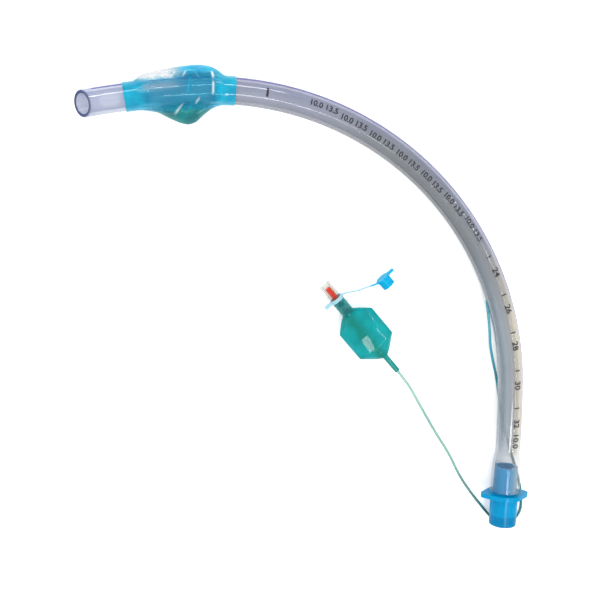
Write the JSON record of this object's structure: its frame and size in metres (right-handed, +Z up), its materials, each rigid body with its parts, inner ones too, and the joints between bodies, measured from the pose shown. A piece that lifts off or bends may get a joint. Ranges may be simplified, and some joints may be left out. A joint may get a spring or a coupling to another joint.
{
  "type": "endotracheal tube",
  "caption": "Curved clear breathing tube with a bevelled tip, side eye, thin film cuff, blue 15 mm connector, inflation line, pilot balloon and spring valve with cap.",
  "frame": {"origin": "on the floor under the middle of the tube's own box, without the free line and what is on it", "axes": "+Z up from the floor that the tube lies on, +Y from the connector towards the cuff, +X towards the outside of the bend"},
  "size_m": [0.2413, 0.2554, 0.0201],
  "materials": {
    "tube_plastic": "clear soft plastic with a satin sheen",
    "cuff_film": "thin wrinkled film, glossy",
    "connector_plastic": "glossy moulded plastic",
    "line_plastic": "soft tinted tubing",
    "balloon_film": "glossy tinted film",
    "valve_clear": "clear moulded plastic",
    "plunger_red": "moulded plastic",
    "seal_rubber": "soft rubber",
    "spring_steel": "drawn wire",
    "cap_plastic": "soft moulded plastic"
  },
  "bodies": {
    "body": {"tube": "tube_plastic", "cuff": "cuff_film", "connector": "connector_plastic", "inflation_line": "line_plastic", "pilot_balloon": "balloon_film", "valve_housing": "valve_clear", "valve_retainer": "valve_clear", "valve_spring": "spring_steel", "cap_and_strap": "cap_plastic"},
    "plunger": {"valve_plunger": "plunger_red", "valve_seal": "seal_rubber"}
  },
  "joints": [
    {"name": "plunger_press", "type": "slide", "parent": "body", "child": "plunger", "axis": [0.6414, -0.7672, 0], "range_m": [0, 0.0012], "stiffness_N_per_m": 300, "deforming": ["valve_spring"]}
  ]
}
